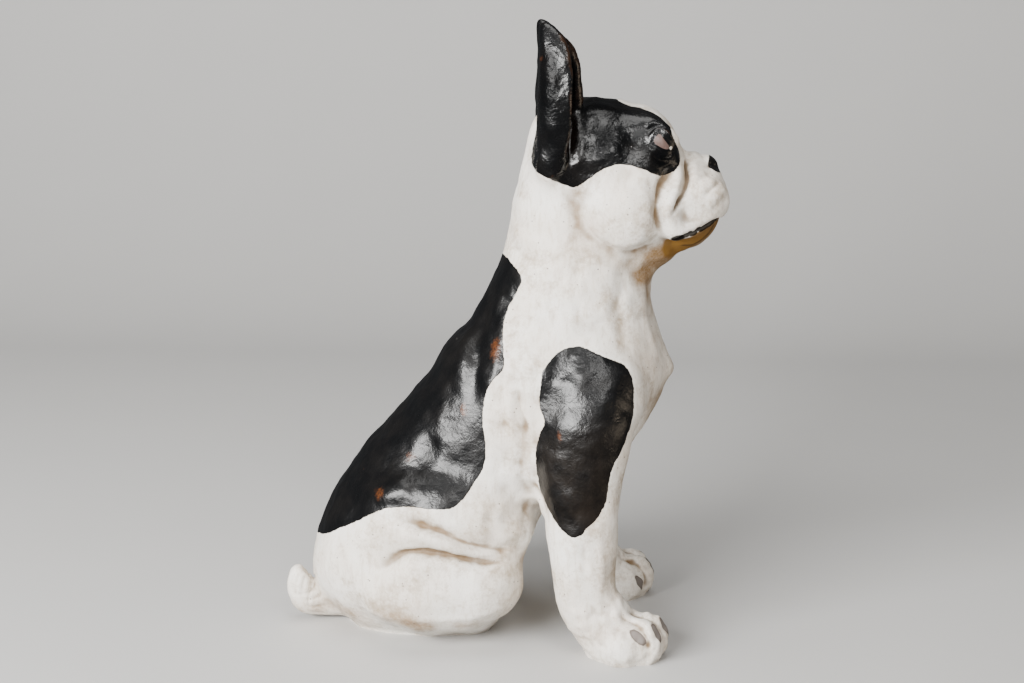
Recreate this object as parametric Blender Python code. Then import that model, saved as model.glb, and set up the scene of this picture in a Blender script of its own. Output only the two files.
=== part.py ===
"""A seated bulldog garden statue, cast in one piece.

The figure faces +X and its left side is +Y.  Clay forms for the trunk, head, ears, legs, paws and
tail are fused into one skin, worked over with sculpting strokes, reduced to a light mesh and cut
off flat where the cast stands on the ground.
"""

import math

import bmesh
import bpy
import numpy as np
from mathutils import Matrix, Vector
from mathutils.bvhtree import BVHTree

# The real height, from the ground to the ear tips, in metres.
HEIGHT = 0.42

# The figure is drawn 420 units tall, so every place and size below is a share of its height.
UNIT = HEIGHT / 420.0

# Fineness of the fused clay, the number of triangles that the finished cast keeps, how often the
# clay is softened, the distance at which points are one, and the fineness of the drawn forms.
MASS_VOXEL = 3.0 * UNIT
CLAY_VOXEL = 1.8 * UNIT
CAST_TRIANGLES = 9600
MELT_ROUNDS, SMOOTH_ROUNDS = 24, 6
WELD = 1e-6
RING_POINTS = 40
ROWS_PER_SPAN = 6

RIGHT, LEFT = -1, 1
SIDES = (RIGHT, LEFT)

# The head looks this far to its left of straight ahead, in degrees, about a line through the neck.
HEAD_TURN = 5.0
NECK_X = 40

# Each forepaw, and each hind knee, stands this far ahead of its drawn place.
STRIDE = {RIGHT: 3, LEFT: -7}
KNEE_STEP = {RIGHT: 0, LEFT: -9}

# Trunk and neck, one horizontal slice a row: height, back, front, half width, and how much
# wider the slice is behind than in front.
TRUNK = [
    (-6, -102, -30, 26, 0.12),
    (6, -115, -22, 34, 0.12),
    (20, -129, -16, 46, 0.13),
    (40, -135, -8, 61, 0.14),
    (60, -133, 6, 66, 0.13),
    (80, -126, 22, 67, 0.11),
    (95, -119, 42, 65, 0.08),
    (110, -110, 64, 62, 0.05),
    (125, -99, 82, 60, 0.05),
    (140, -86, 93, 59, 0.05),
    (155, -72, 102, 59, 0.06),
    (170, -58, 109, 60, 0.07),
    (185, -47, 113, 59.5, 0.07),
    (200, -39, 110, 57, 0.06),
    (214, -25, 105, 53, 0.05),
    (229, -16, 100, 49.5, 0.04),
    (243, -9, 98, 46.5, 0.03),
    (257, -3, 97, 44, 0.02),
    (271, 2, 94, 42, 0.00),
    (285, 4.5, 88, 41, 0.00),
    (298, 6.5, 80, 40, 0.00),
    (312, 10, 70, 38, 0.00),
    (326, 14, 60, 34, 0.00),
]

# One foreleg, from the shoulder down to the wrist: x, distance from the middle plane, height,
# half depth fore and aft, half width sideways.
FORELEG = [
    (60, 36, 204, 20, 14),
    (60, 43, 188, 27, 20),
    (60, 47, 172, 31, 24),
    (59, 50, 155, 32, 25.5),
    (56, 52, 138, 30, 25),
    (54, 54, 122, 27.5, 23),
    (54, 55, 106, 26, 21.5),
    (54.5, 56, 85, 24.5, 20.5),
    (55, 57, 64, 22, 20),
    (56, 58, 42, 20.5, 20),
    (62, 58, 22, 20, 20),
    (68, 57, 6, 14, 14),
    (70, 57, -6, 11, 10),
]

# Ear, from its root in the skull to the tip: height, x of the back of the ear, x of its front
# rims, distance from the middle plane, half width across, share of the depth that is hollow.
EAR = [
    (312, 27, 42, 24, 5, 0.00),
    (324, 22.5, 45, 30, 11, 0.05),
    (335, 21, 46, 35.5, 17, 0.45),
    (346, 21, 45.5, 38.5, 19.5, 0.80),
    (358, 22, 46, 40, 20, 0.90),
    (372, 22, 46.5, 41.5, 19.5, 0.90),
    (386, 22.5, 46, 42.5, 18, 0.85),
    (396, 23, 44, 43, 15.5, 0.80),
    (404, 23, 41, 43, 12.5, 0.65),
    (411, 22, 36.5, 43, 9.5, 0.40),
    (417, 21, 31.5, 42.5, 6.5, 0.10),
    (420.5, 21.5, 27.5, 42, 3.5, 0.00),
]
EAR_WALL = 4.5
EAR_WRAP = 125
EAR_OUTWARD = 20

# Tail, from inside the rump to the curled tip: x, y, height, radius.
TAIL = [
    (-108, 0, 17, 15),
    (-121, -3, 14, 13),
    (-131, -7, 13.5, 12),
    (-140, -11, 16, 11.5),
    (-144.5, -13, 25, 10),
    (-144.5, -14, 34, 8),
    (-142, -14, 40.5, 5.5),
]

# How far each front paw turns outwards, in degrees, and its toes from the inner to the outer one:
# how far ahead of the wrist, how far across, half length, half width, half height.
PAW_SPLAY = 12
TOES = [
    (24, -16, 14, 8.5, 14),
    (34, -6.5, 16, 9, 17),
    (33, 7, 16, 9, 17),
    (20, 16, 13, 8, 13),
]

# Heavy fold of skin that runs from beside the nose down and forward along the upper lip, on one
# side of the turned head: x, distance from the middle plane, height, radius.
LIP_FOLD = [
    (115, 0, 328, 4.5),
    (116, 9, 328, 4.5),
    (116, 18, 326, 5),
    (113.5, 27, 320, 6.5),
    (110, 33, 309, 8),
    (107, 36, 297, 8.5),
    (110, 35, 286.5, 8),
    (119, 31, 283.5, 7),
    (131, 24, 287.5, 6.5),
    (141, 13, 293, 6),
    (145, 3, 295.5, 6),
]

# Eyes: the middle of the ball, its radius, the way it looks, and the opening between the lids,
# which slants down towards the nose by some degrees.  Each lid rises from the line of the corners.
EYE = (103.5, 29.5, 342)
EYE_RADIUS = 9.5
GAZE = (0.5, 0.85, 0.12)
EYE_SLANT = 36
EYE_OPENING = 0.88 * EYE_RADIUS
UPPER_LID, LOWER_LID = 0.52 * EYE_RADIUS, -0.47 * EYE_RADIUS
LID_RADIUS = 2.3
LID_STEPS = 8

# Soft bumps and hollows of each side of the body, at the flank, behind the elbow, at the shoulder
# blade and down the spine: x, distance from the middle plane, height, radius, lift.
BUMPS = [
    (-8, 62, 96, 22, 2.5),
    (18, 52, 104, 13, -4.0),
    (-42, 52, 196, 14, 2.0),
    (-25, 12, 222, 11, -1.2),
    (-40, 14, 203, 14, 2.4),
    (-64, 10, 176, 11, 1.4),
]

# The pointed tuft on the breastbone: its middle, its half sizes and how far it droops.
TUFT = (107, 0, 186.5)
TUFT_RADII = (10.5, 10, 9)
TUFT_LEAN = -14

# Creases pressed into the finished clay, each with its width and depth: x, distance from the
# middle plane, height.
MOUTH = [
    (113, 37, 277),
    (120, 33, 278),
    (129, 27, 281.5),
    (138, 19, 286),
    (146, 8, 290),
    (148, 0, 291),
]
LIP_PARTING = [(143, 0, 316), (149, 0, 308), (151, 0, 299), (148, 0, 291)]
MOUTH_WIDTH, MOUTH_DEPTH = 2.6, 3.2
NOSE_FOLD = [(122, 14, 331), (121, 24, 325), (119, 32, 317), (116, 37, 309), (112, 40, 298)]
CHEEK_FOLD = [(111, 34, 326), (105, 38, 320), (100, 42, 311), (98, 44, 299), (102, 42, 286)]
FACE_FOLD_WIDTH, FACE_FOLD_DEPTH = 3.0, 3.0
JOWL = [(47, 45, 308), (47, 48, 292), (57, 50, 277), (72, 48, 268), (90, 42, 264), (104, 36, 268)]
JOWL_WIDTH, JOWL_DEPTH = 6.0, 2.4
FLANK_FOLD = [
    (-72, 72, 102),
    (-54, 76, 100),
    (-35, 78, 93),
    (-15, 76, 84),
    (5, 70, 77),
    (16, 60, 77),
]
THIGH_FOLD = [
    (-86, 72, 58),
    (-71, 76, 67),
    (-57, 77, 71),
    (-44, 77, 72),
    (-28, 76, 69),
    (-8, 74, 66),
    (12, 66, 67),
]
LEG_FOLD_WIDTH, LEG_FOLD_DEPTH = 5.5, 5.0

# How far the skin is moved out again after each softening.
MASS_LIFT, DETAIL_LIFT = 1.3, 0.3


def at(x, y, z):
    """A place in drawing units, as a place in metres."""
    return Vector((x, y, z)) * UNIT


def smooth_rows(rows, per_span=ROWS_PER_SPAN):
    """The rows given and more between them, on a Catmull-Rom curve."""
    rows = np.array(rows, float)
    padded = np.vstack([2 * rows[0] - rows[1], rows, 2 * rows[-1] - rows[-2]])
    found = []
    for i in range(len(rows) - 1):
        a, b, c, d = padded[i : i + 4]
        for t in np.arange(per_span) / per_span:
            bend = (2 * a - 5 * b + 4 * c - d) * t**2 + (3 * b - a - 3 * c + d) * t**3
            found.append(b + 0.5 * ((c - a) * t + bend))
    return np.array(found + [rows[-1]])


def loft(clay, rings):
    """A closed skin through rings with equal numbers of points, capped at both ends."""
    loops = [[clay.verts.new(point) for point in ring] for ring in rings]
    count = len(loops[0])
    for low, high in zip(loops, loops[1:]):
        for i in range(count):
            j = (i + 1) % count
            clay.faces.new((low[i], low[j], high[j], high[i]))
    clay.faces.new(reversed(loops[0]))
    clay.faces.new(loops[-1])


def angles():
    """Evenly spaced turns round a ring."""
    return [2 * math.pi * i / RING_POINTS for i in range(RING_POINTS)]


def ball(clay, centre, radii, lean=0, turn=0):
    """An ellipsoid.  Lean tips its front up and turn swings its front to the left, in degrees."""
    turned = Matrix.Rotation(math.radians(turn), 4, "Z") @ Matrix.Rotation(
        math.radians(-lean), 4, "Y"
    )
    place = Matrix.Translation(at(*centre)) @ turned @ Matrix.Diagonal((*at(*radii), 1))
    bmesh.ops.create_icosphere(clay, subdivisions=4, radius=1, matrix=place)


def tube(clay, path):
    """A round limb along a path of x, y, height and radius."""
    rows = smooth_rows(path)
    rings = []
    for i, (x, y, z, radius) in enumerate(rows):
        ahead, behind = rows[min(i + 1, len(rows) - 1)], rows[max(i - 1, 0)]
        way = Vector(ahead[:3] - behind[:3]).normalized()
        across = way.cross(Vector((0, 1, 0.2))).normalized()
        over = way.cross(across)
        rings.append(
            [
                at(x, y, z) + (across * math.cos(a) + over * math.sin(a)) * radius * UNIT
                for a in angles()
            ]
        )
    loft(clay, rings)


def mirrored(path, side):
    """A path drawn on the left side, on the side asked for."""
    return [(x, side * y, *rest) for x, y, *rest in path]


def turn_head(clay, first):
    """Turns every vertex from the given count on, all of them the head's."""
    bmesh.ops.rotate(
        clay,
        cent=at(NECK_X, 0, 0),
        matrix=Matrix.Rotation(math.radians(HEAD_TURN), 3, "Z"),
        verts=list(clay.verts)[first:],
    )


def trunk(clay):
    rings = []
    for z, back, front, half_width, egg in smooth_rows(TRUNK):
        middle, half_depth = (back + front) / 2, (front - back) / 2
        rings.append(
            [
                at(
                    middle + half_depth * math.cos(a),
                    half_width * math.sin(a) * (1 - egg * math.cos(a)),
                    z,
                )
                for a in angles()
            ]
        )
    loft(clay, rings)


def foreleg(clay, side):
    rings = []
    for x, y, z, half_depth, half_width in smooth_rows(FORELEG):
        ahead = STRIDE[side] * min(1, max(0, (190 - z) / 120))
        rings.append(
            [
                at(
                    x + ahead + half_depth * math.cos(a),
                    side * y + half_width * math.sin(a),
                    z,
                )
                for a in angles()
            ]
        )
    loft(clay, rings[::-1])
    ball(clay, (61, side * 39, 176), (37, 27, 36), lean=-18)


def front_paw(clay, side):
    """A chunky paw turned a little outwards, with four toes."""
    turn = side * PAW_SPLAY
    wrist = Vector((63 + STRIDE[side], side * 58, 0))
    spin = Matrix.Rotation(math.radians(turn), 3, "Z")

    def from_wrist(along, across, up):
        spot = wrist + spin @ Vector((along, side * across, 0))
        return (spot.x, spot.y, up)

    ball(clay, from_wrist(19, -1, 12), (30, 21.5, 20), turn=turn)
    ball(clay, from_wrist(5, 0, 26), (21, 20, 21), turn=turn)
    for along, across, long, wide, tall in TOES:
        fan = side * (PAW_SPLAY + across * 0.8)
        ball(clay, from_wrist(along, across, tall * 0.85), (long, wide, tall), turn=fan)


def hind_leg(clay, side):
    """The haunch, and the folded lower leg that lies along the ground."""
    step = KNEE_STEP[side]
    ball(clay, (-40 + step, side * 41, 80), (61, 36, 47), lean=-8)
    ball(clay, (-42 + step, side * 50, 44), (59, 30, 34), lean=1)
    ball(clay, (-15 + step, side * 52, 46), (33, 28, 29))
    ball(clay, (-47 + step, side * 14, 14), (50, 16, 22))
    ball(clay, (-80 + step, side * 20, 25), (30, 30, 25.5))
    ball(clay, (-48 + step, side * 24, 27), (42, 36, 27.5))
    ball(clay, (-21 + step, side * 22, 26), (24, 30, 26.5))
    ball(clay, (-4 + step, side * 40, 80), (31, 25, 12), lean=2)


def hind_paw(clay, side):
    """The foot under the knee, with three toes that show only from the front."""
    x = -30 + KNEE_STEP[side]
    ball(clay, (x, side * 16, 8), (20, 11, 12))
    for across in (-7, 0, 7):
        ball(clay, (x + 15, side * (14 + across), 6), (8, 4.2, 8))


def skull(clay):
    first = len(clay.verts)
    ball(clay, (61, 0, 325), (48, 46, 44))
    ball(clay, (50, 0, 347), (31, 39, 22), lean=-4)
    ball(clay, (86, 0, 337), (30, 38, 28))
    ball(clay, (106, 0, 317), (22, 35, 21))
    ball(clay, (96, 0, 273), (26, 28, 20), lean=12)
    for side in SIDES:
        ball(clay, (78, side * 25, 298), (32, 30, 32), turn=side * -6)
        ball(clay, (92, side * 20, 344), (21, 17, 18), turn=side * 20)
        ball(clay, (96, side * 25, 325), (22, 17, 19), turn=side * -10)
        ball(clay, (34, side * 33, 334), (15, 13, 19))
    turn_head(clay, first)


def muzzle(clay):
    ball(clay, (121, 0, 305), (29.5, 30, 25))
    ball(clay, (123, 0, 282), (25, 25, 14), lean=27)
    for side in SIDES:
        ball(clay, (124.5, side * 17, 301), (26.5, 18, 21), turn=side * -8)
        tube(clay, mirrored(LIP_FOLD, side))


def nose(clay):
    ball(clay, (136.5, 0, 321.5), (7, 12, 7.5), lean=-42)


def eye_frame(side):
    """The eye's middle, the way it looks, and the ways along and across its opening."""
    gaze = Vector(GAZE).normalized()
    level = Vector((gaze.y, -gaze.x, 0)).normalized()
    up = gaze.cross(level) * -1
    slant = math.radians(EYE_SLANT)
    along = level * math.cos(slant) - up * math.sin(slant)
    across = up * math.cos(slant) + level * math.sin(slant)
    flip = Vector((1, side, 1))
    return [way * flip for way in (Vector(EYE), gaze, along, across)]


def lid_path(side, rise):
    """A lid's edge, on a ball a little larger than the eye, from the outer corner to the inner."""
    middle, gaze, along, across = eye_frame(side)
    path = []
    for i in range(LID_STEPS + 1):
        turn = math.pi * i / LID_STEPS
        spot = across * math.sin(turn) * rise - along * math.cos(turn) * EYE_OPENING
        depth = math.sqrt((1.05 * EYE_RADIUS) ** 2 - spot.length_squared)
        path.append((*(middle + gaze * depth + spot), LID_RADIUS))
    return path


def eye(clay, side):
    """A ball in its socket, with an upper and a lower lid."""
    middle = eye_frame(side)[0]
    ball(clay, middle, (EYE_RADIUS,) * 3)
    for rise in (UPPER_LID, LOWER_LID):
        tube(clay, lid_path(side, rise))


def ear(clay, side):
    """A tall cupped ear, open forwards and a little outwards; its rings are crescents."""
    wrap = math.radians(EAR_WRAP)
    outward = Matrix.Rotation(math.radians(side * EAR_OUTWARD), 3, "Z")
    arc = [wrap * (2 * i / 23 - 1) for i in range(24)]
    rings = []
    for z, back, front, y, half_width, hollow in smooth_rows(EAR):
        reach = (front - back) / (1 - math.cos(wrap))
        middle = Vector((back + reach, side * y, z))
        deep, wide = max(reach - EAR_WALL, 0.5), max(half_width - EAR_WALL, 0.5)
        outer = [(-reach * math.cos(a), half_width * math.sin(a)) for a in arc]
        chord = -reach * math.cos(wrap) - 1.0
        inner = [
            (chord + (-deep * math.cos(a) - chord) * hollow, wide * math.sin(a))
            for a in reversed(arc)
        ]
        ring = [middle + outward @ Vector((x, side * v, 0)) for x, v in outer + inner]
        rings.append([at(*point) for point in ring])
    if side == RIGHT:
        rings = [ring[::-1] for ring in rings]
    loft(clay, rings[::-1])


def face(clay):
    first = len(clay.verts)
    muzzle(clay)
    nose(clay)
    for side in SIDES:
        eye(clay, side)
        ear(clay, side)
    turn_head(clay, first)


def evaluated(obj):
    """A plain copy of the mesh that an object's modifiers give."""
    graph = bpy.context.evaluated_depsgraph_get()
    return bpy.data.meshes.new_from_object(obj.evaluated_get(graph))


def fused(clay, voxel):
    """One closed skin round all the overlapping forms."""
    mesh = bpy.data.meshes.new("clay")
    clay.to_mesh(mesh)
    clay.free()
    obj = bpy.data.objects.new("clay", mesh)
    bpy.context.scene.collection.objects.link(obj)
    remesh = obj.modifiers.new("fuse", "REMESH")
    remesh.mode = "VOXEL"
    remesh.voxel_size = voxel
    found = evaluated(obj)
    bpy.data.objects.remove(obj)
    return found


class Skin:
    """The points of a mesh, and the sculpting strokes that move them."""

    def __init__(self, mesh):
        self.mesh = mesh
        self.points = np.empty(len(mesh.vertices) * 3)
        mesh.vertices.foreach_get("co", self.points)
        self.points = self.points.reshape(-1, 3)
        ends = np.empty(len(mesh.edges) * 2, int)
        mesh.edges.foreach_get("vertices", ends)
        self.ends = ends.reshape(-1, 2)
        self.tally = np.bincount(ends, minlength=len(self.points))[:, None]

    def store(self):
        self.mesh.vertices.foreach_set("co", self.points.ravel())
        self.mesh.update()

    def normals(self):
        self.store()
        found = np.empty(len(self.points) * 3)
        self.mesh.vertex_normals.foreach_get("vector", found)
        return found.reshape(-1, 3)

    def soften(self, rounds, weight=0.5):
        """Moves each point towards the middle of its neighbours."""
        a, b = self.ends.T
        for _ in range(rounds):
            total = np.zeros_like(self.points)
            for axis in range(3):
                total[:, axis] = np.bincount(a, self.points[b, axis], len(total))
                total[:, axis] += np.bincount(b, self.points[a, axis], len(total))
            self.points += (total / self.tally - self.points) * weight

    def inflate(self, height):
        """Moves the whole skin outwards, to make up for what softening takes off."""
        self.points += self.normals() * height * UNIT

    def turned(self, angle):
        """Turns the points by degrees about the line through the neck."""
        spin = np.array(Matrix.Rotation(math.radians(angle), 3, "Z"))
        neck = np.array([NECK_X * UNIT, 0, 0])
        self.points = (self.points - neck) @ spin.T + neck

    def off_path(self, path):
        """Each point's distance in drawing units from a path laid on the skin, and how far along."""
        self.store()
        tree = BVHTree.FromPolygons(
            [tuple(point) for point in self.points],
            [tuple(face.vertices) for face in self.mesh.polygons],
        )
        laid = np.array([tree.find_nearest(at(*spot))[0] for spot in smooth_rows(path)]) / UNIT
        spots = self.points / UNIT
        best, along = np.full(len(spots), 1e9), np.zeros(len(spots))
        for i, (start, end) in enumerate(zip(laid, laid[1:])):
            way = end - start
            t = np.clip((spots - start) @ way / max(way @ way, 1e-9), 0, 1)
            gap = np.linalg.norm(spots - start - t[:, None] * way, axis=1)
            nearer = gap < best
            best[nearer] = gap[nearer]
            along[nearer] = (i + t[nearer]) / (len(laid) - 1)
        return best, along

    def draw(self, path, width, height):
        """A ridge along a path, or a groove where height is below zero, fading at its ends."""
        gap, along = self.off_path(path)
        fade = np.clip(np.minimum(along, 1 - along) * 5 + 0.15, 0, 1)
        lift = height * fade * np.exp(-((gap / width) ** 2)) * UNIT
        self.points += self.normals() * lift[:, None]

    def swell(self, place, radius, height):
        """A soft bulge round a place, or a hollow where height is below zero."""
        gap = np.linalg.norm(self.points / UNIT - np.array(place, float), axis=1)
        self.points += self.normals() * (height * np.exp(-((gap / radius) ** 2)) * UNIT)[:, None]


def masses():
    """The big forms, melted softly into each other."""
    clay = bmesh.new()
    trunk(clay)
    skull(clay)
    for side in SIDES:
        foreleg(clay, side)
        hind_leg(clay, side)
    skin = Skin(fused(clay, MASS_VOXEL))
    skin.soften(MELT_ROUNDS)
    skin.inflate(MASS_LIFT)
    for side in SIDES:
        for fold in (FLANK_FOLD, THIGH_FOLD):
            skin.draw(mirrored(fold, side), LEG_FOLD_WIDTH, -LEG_FOLD_DEPTH)
        for x, y, z, radius, lift in BUMPS:
            skin.swell((x, side * y, z), radius, lift)
    skin.soften(SMOOTH_ROUNDS // 2)
    skin.store()
    return skin.mesh


def features(mesh):
    """The face, paws and tail, set on the masses and joined with tight fillets."""
    clay = bmesh.new()
    clay.from_mesh(mesh)
    face(clay)
    tube(clay, TAIL)
    ball(clay, TUFT, TUFT_RADII, lean=TUFT_LEAN)
    for side in SIDES:
        front_paw(clay, side)
        hind_paw(clay, side)
    skin = Skin(fused(clay, CLAY_VOXEL))
    skin.soften(SMOOTH_ROUNDS)
    skin.inflate(DETAIL_LIFT)
    return skin


def creases(skin):
    """The mouth and the folds round the muzzle and under the cheeks."""
    skin.turned(-HEAD_TURN)
    for side in SIDES:
        skin.draw(mirrored(MOUTH, side), MOUTH_WIDTH, -MOUTH_DEPTH)
        for fold in (NOSE_FOLD, CHEEK_FOLD):
            skin.draw(mirrored(fold, side), FACE_FOLD_WIDTH, -FACE_FOLD_DEPTH)
        skin.draw(mirrored(JOWL, side), JOWL_WIDTH, -JOWL_DEPTH)
    skin.draw(LIP_PARTING, MOUTH_WIDTH, -MOUTH_DEPTH / 2)
    skin.turned(HEAD_TURN)
    skin.store()


def cast(mesh):
    """The light mesh of the finished cast, cut off flat at the ground and set over the origin."""
    figure = bpy.data.objects.new("bulldog", mesh)
    bpy.context.scene.collection.objects.link(figure)
    mesh.calc_loop_triangles()
    lighten = figure.modifiers.new("lighten", "DECIMATE")
    lighten.ratio = CAST_TRIANGLES / len(mesh.loop_triangles)
    figure.data = evaluated(figure)
    figure.modifiers.clear()
    work = bmesh.new()
    work.from_mesh(figure.data)
    everything = list(work.verts) + list(work.edges) + list(work.faces)
    bmesh.ops.bisect_plane(
        work, geom=everything, plane_co=(0, 0, 0), plane_no=(0, 0, 1), dist=WELD, clear_inner=True
    )
    rim = [edge for edge in work.edges if edge.is_boundary]
    bmesh.ops.holes_fill(work, edges=rim, sides=0)
    bmesh.ops.dissolve_degenerate(work, dist=WELD, edges=work.edges)
    bmesh.ops.recalc_face_normals(work, faces=work.faces)
    corners = np.array([vert.co for vert in work.verts])
    middle = (corners.min(axis=0) + corners.max(axis=0)) / 2
    bmesh.ops.translate(work, verts=work.verts, vec=(-middle[0], -middle[1], 0))
    work.to_mesh(figure.data)
    work.free()
    return figure


def paint():
    """Warm off-white garden paint."""
    material = bpy.data.materials.new("off_white_paint")
    material.use_nodes = True
    shader = material.node_tree.nodes["Principled BSDF"]
    shader.inputs["Base Color"].default_value = (0.78, 0.72, 0.64, 1)
    shader.inputs["Roughness"].default_value = 0.45
    shader.inputs["Metallic"].default_value = 0.0
    return material


def main():
    for obj in list(bpy.data.objects):
        bpy.data.objects.remove(obj)
    skin = features(masses())
    creases(skin)
    figure = cast(skin.mesh)
    figure.data.materials.append(paint())
    figure.data.shade_smooth()


main()
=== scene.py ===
"""The finished bulldog garden statue: the worked surface of the cast and its glossy paint.

The figure faces +X and its left side is +Y.  Places and sizes are millimetres in the frame of the
solid.  Those of the head are drawn on a head that looks straight ahead, and are turned with it.
"""

import math

import bmesh
import bpy
import numpy as np
from mathutils import Matrix, Vector, noise
from mathutils.bvhtree import BVHTree


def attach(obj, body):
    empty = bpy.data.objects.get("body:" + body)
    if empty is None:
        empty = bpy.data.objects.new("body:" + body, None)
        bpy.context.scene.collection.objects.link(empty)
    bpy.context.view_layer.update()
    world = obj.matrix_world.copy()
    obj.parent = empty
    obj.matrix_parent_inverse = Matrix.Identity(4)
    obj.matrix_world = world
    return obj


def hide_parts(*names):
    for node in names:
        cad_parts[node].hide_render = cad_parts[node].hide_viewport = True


MM = 0.001
RIGHT, LEFT = -1, 1
SIDES = (RIGHT, LEFT)

# The head's turn to its left, in degrees, and the place of the upright line that it turns about.
HEAD_TURN = 5.0
NECK_X = 41

# Fineness of the two layers of clay, how far the cast is made longer below the ground before it is
# cut off there, and the most triangles that the finished piece may have.
MASS_VOXEL = 1.25
SKIN_VOXEL = 0.95
FOOT_DEPTH = 8
PIECE_TRIANGLES = 192_000

# How often each part of the mass is softened: places with a radius, and their share of the rounds.
MELT_ROUNDS = 46
HEAD_SHARE, EAR_SHARE, PAW_SHARE, TAIL_SHARE = 0.16, 0.22, 0.35, 0.2

# Eyes, set in the skull as balls: the middle, the radius, and the almond of the opening, drawn in
# the side view from the outer corner over the top.  Then the dark of the eye, its glint (a painted
# highlight of white), the lids.
EYE = (104, 29.5, 342)
EYE_RADIUS = 9.6
EYE_OUTLINE = [(98.4, 343), (102, 348), (105, 344.6), (108.4, 340), (107.6, 337.8), (103, 339.2)]
EYE_DARK, EYE_DARK_RADIUS = (111, 36.5, 339.5), 2.0
EYE_GLINT, EYE_GLINT_RADIUS = (109.6, 38.2, 338.6), 1.3
UPPER_LID = [(95, 37, 342), (98.5, 38, 349), (102, 38, 352), (107.5, 37, 347.5), (112, 35, 341)]
LOWER_LID = [(96, 38, 340), (101, 39, 336), (106, 38, 334), (112, 36, 335.5)]

# Nose: middle, half sizes, how far it leans back, where its dark paint lies, and a nostril's curl.
NOSE = (137.5, 0, 322.5)
NOSE_RADII = (7, 12, 7.5)
NOSE_LEAN = -42
NOSE_PAINT, NOSE_PAINT_RADII = (143, 0, 325), (7.5, 14.5, 7)
NOSTRIL = [(143, 3.5, 322), (143, 6, 325), (140, 9, 325.5), (137, 12, 323)]

# Rims of the left ear, from its root to the tip: x, y, height.
OUTER_RIM = [
    (40, 50, 333),
    (40.5, 56.5, 346),
    (39, 59, 372),
    (40, 57.5, 396),
    (34.5, 52, 411),
    (25, 44, 419),
]
INNER_RIM = [
    (52, 30, 346),
    (50, 29, 372),
    (49, 34, 396),
    (40, 38, 411),
    (27, 42, 419.5),
]

# How far the outer rim is drawn over the ear's opening, and the fuller wall beside the inner rim.
OUTER_RIM_FORWARD, OUTER_RIM_REACH = (4.5, 0, 0), 4.5
EAR_WALL = [(47, 34, 350), (46.5, 33, 372), (45, 37, 392), (38, 41, 406)]

# Strokes on each side of the head: path, width, height above or below the skin.
HEAD_STROKES = [
    # the hollow in front of the ear, and the notch at its root
    ([(46, 33, 359), (45, 38, 350), (44, 42, 342), (43, 44, 333), (41, 46, 325)], 2.4, -2.2),
    ([(37, 47, 342), (34, 49, 334), (33, 48, 326)], 5.0, 1.2),
    ([(20, 42, 330), (29, 47, 326), (39, 48, 321)], 8.5, 3.6),
    ([(52, 40, 345), (51, 44, 335), (47, 45, 325)], 4.0, 1.4),
    # the brow over the eye and the hollows round it
    ([(92, 30, 353), (99, 33, 355.5), (106, 32, 353), (112, 31, 345)], 4.0, 1.6),
    ([(95, 36, 348), (98, 36, 352.5), (103, 35.5, 353.5), (109, 34.5, 349)], 1.5, -1.2),
    ([(97, 40, 334), (104, 40, 330.5), (111, 36, 331)], 1.8, -1.1),
    ([(80, 36, 347), (88, 36, 343), (94, 38, 339)], 5.0, -1.3),
    # the groove inside the roll beside the nose, from the stop to the lip
    (
        [(119, 6, 336), (121.5, 12, 333), (122.5, 19, 326), (122.5, 28, 317.5), (120, 33, 310),
         (117.5, 37, 305), (114.5, 41, 300), (111, 43, 295)],
        1.8,
        -3.0,
    ),
    # the groove outside that roll, down to the corner of the mouth
    (
        [(114, 33, 325), (107, 36, 320), (102, 40, 311), (100, 42, 300), (102, 41, 289),
         (108, 38, 280)],
        2.3,
        -1.9,
    ),
    ([(119, 30, 324), (114, 36, 314), (109, 40, 302), (108, 41, 292)], 3.2, 1.2),
    # wrinkles that run back and down from the nose
    ([(145, 19, 315), (141, 26, 313), (137, 30, 310), (132, 33, 306)], 1.5, -1.5),
    ([(147, 19, 310), (143, 26, 307), (138, 31, 304)], 2.2, 0.9),
    ([(148, 20, 303), (143, 27, 301), (137, 31, 297)], 1.8, -0.6),
    ([(139, 14, 319), (134, 22, 317), (129, 27, 314), (125, 31, 309)], 2.4, -1.1),
    ([(130, 12, 328), (127, 20, 322), (126, 28, 315)], 3.0, 0.8),
    # the cheek: its soft upright hollow and the fold under it
    ([(98, 43, 322), (97, 46, 311), (97, 47, 298), (99, 44, 287)], 3.4, -0.9),
    ([(47, 42, 308), (47, 43, 296), (52, 43, 286), (62, 43, 279), (76, 41, 272)], 4.2, -1.1),
    ([(76, 41, 272), (89, 36, 270), (100, 34, 275)], 3.4, -1.2),
    ([(84, 40, 280), (92, 38, 279), (100, 37, 284)], 2.6, -0.7),
    ([(58, 45, 292), (68, 46, 283), (80, 44, 279)], 5.5, 0.9),
]

# The mouth and its lips, from the corner to the middle, and the underside of the jaw.
MOUTH = [
    (113, 37, 278),
    (115.5, 37, 278.5),
    (120, 38, 281),
    (128, 35, 283.2),
    (135, 30, 286.3),
    (141, 25, 289.5),
    (147, 12, 292),
    (149, 0, 293),
]
MOUTH_WIDTH, MOUTH_DEPTH = 1.6, 2.6
UPPER_LIP = [(117, 39, 285), (126, 37, 287), (135, 32, 290.5), (142, 25, 294)]
JAW = [
    (117, 25, 271), (122, 22, 274), (126, 23, 276.5), (130, 23, 278.5), (135, 21.5, 281),
    (140, 19, 284), (145, 12, 288),
]
LOWER_LIP = [
    (120, 24, 268), (127, 19, 271.5), (132, 18, 275), (137, 17, 278.5), (142, 15, 282.5),
    (146, 10, 287), (148, 0, 289),
]

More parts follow.
